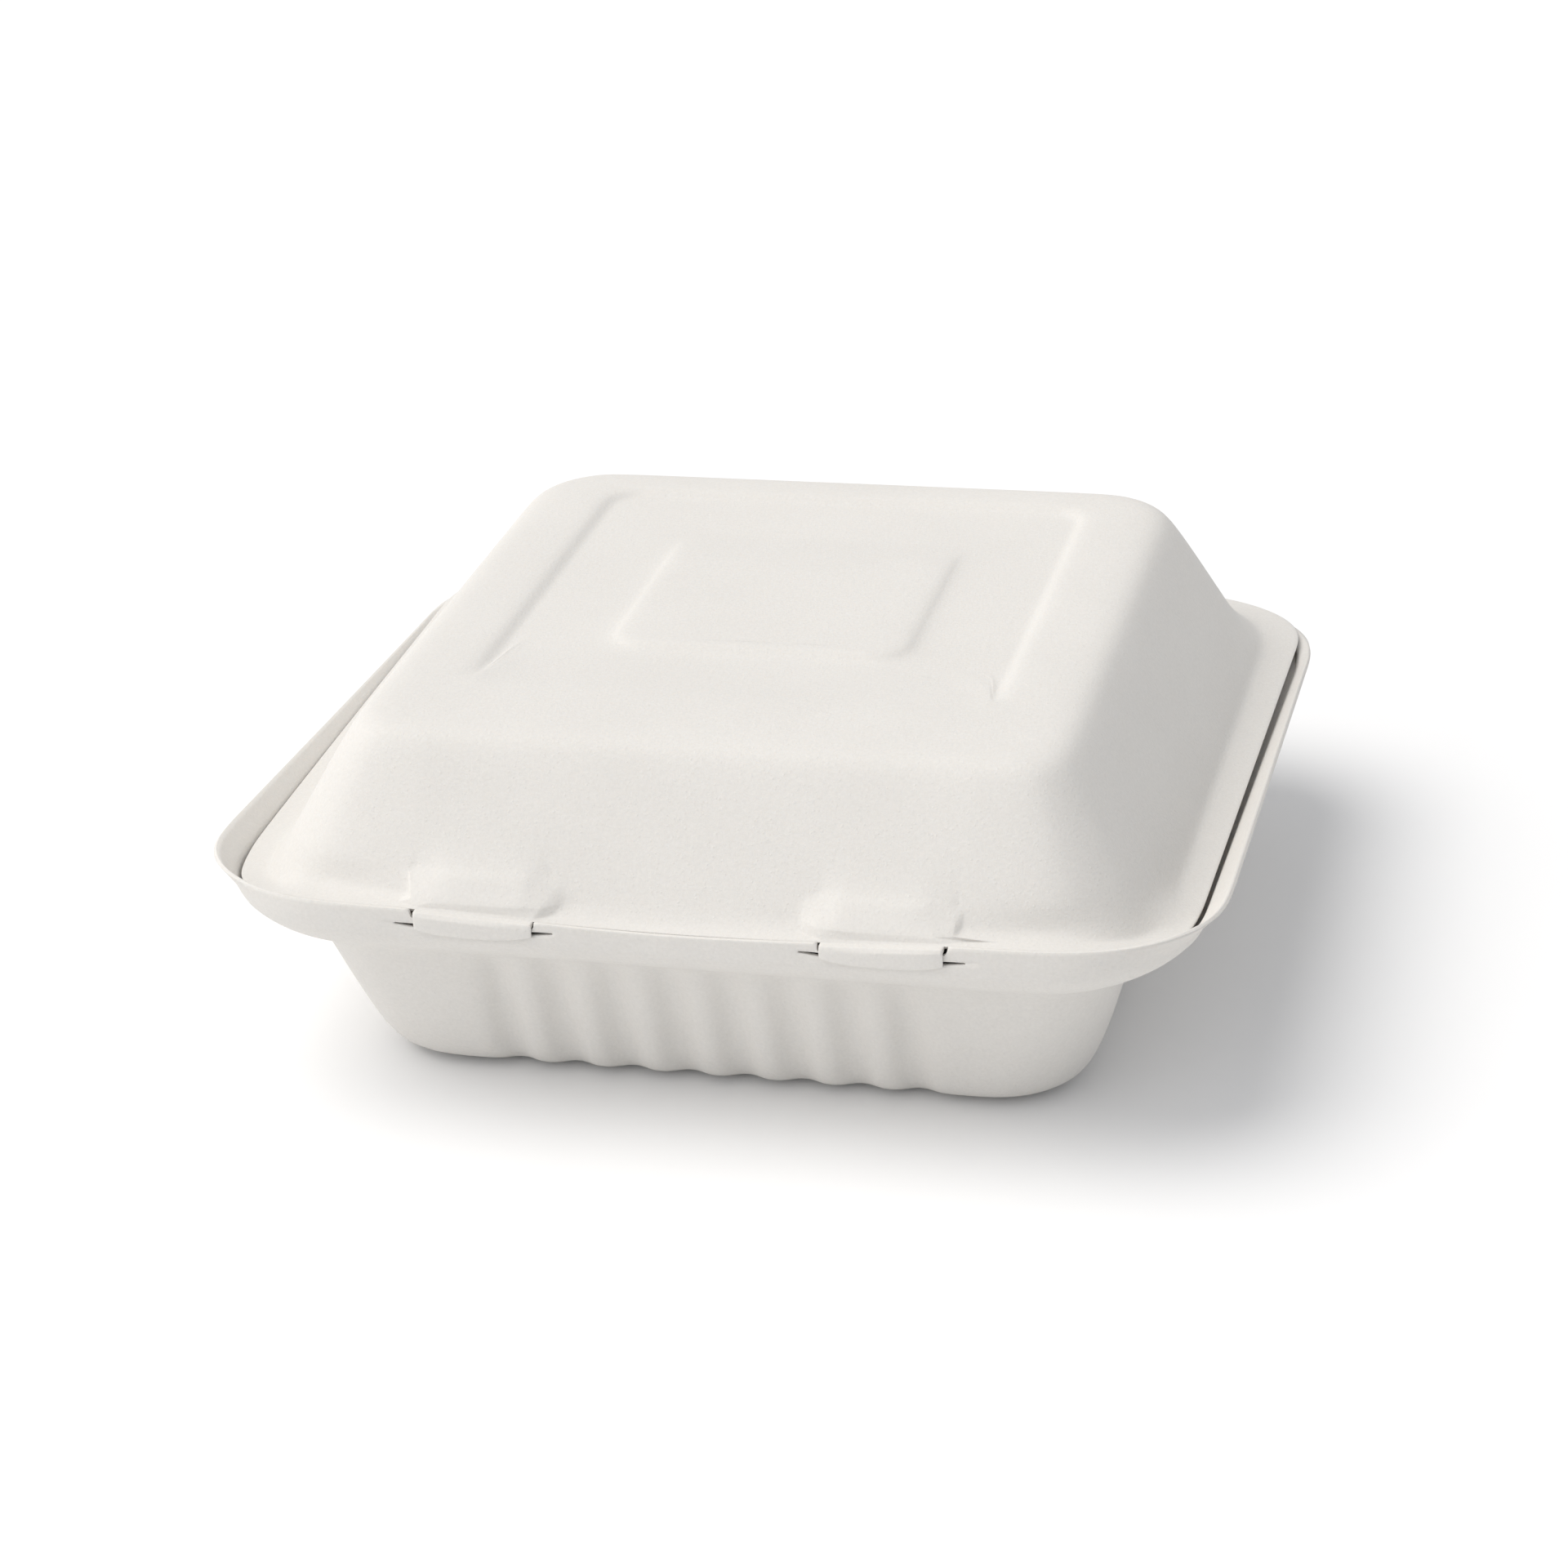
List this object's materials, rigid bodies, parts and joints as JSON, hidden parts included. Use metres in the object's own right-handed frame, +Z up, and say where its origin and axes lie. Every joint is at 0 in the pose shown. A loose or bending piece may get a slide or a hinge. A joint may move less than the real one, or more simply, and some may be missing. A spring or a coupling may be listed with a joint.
{
  "type": "hinged_meal_box",
  "caption": "Hinged takeaway meal box moulded from plant fibre: square grooved base with a flared lip, domed lid on a fold at the back, two tongue-and-slot locks at the front.",
  "frame": {"origin": "on the table plane under the middle of the closed box", "axes": "+Z up, -Y is the front with the two locks, +Y is the fold, +X is the right side seen from the front"},
  "size_m": [0.203, 0.1884, 0.0745],
  "materials": {
    "fibre": "matte moulded plant fibre, warm white, unprinted"
  },
  "bodies": {
    "base_body": {"base": "fibre"},
    "lid_body": {"lid": "fibre"}
  },
  "joints": [
    {"name": "lid_fold", "type": "hinge", "parent": "base_body", "child": "lid_body", "pos_m": [0, 0.0945, 0.0402], "axis": [-1, 0, 0], "range_deg": [0, 180]}
  ]
}
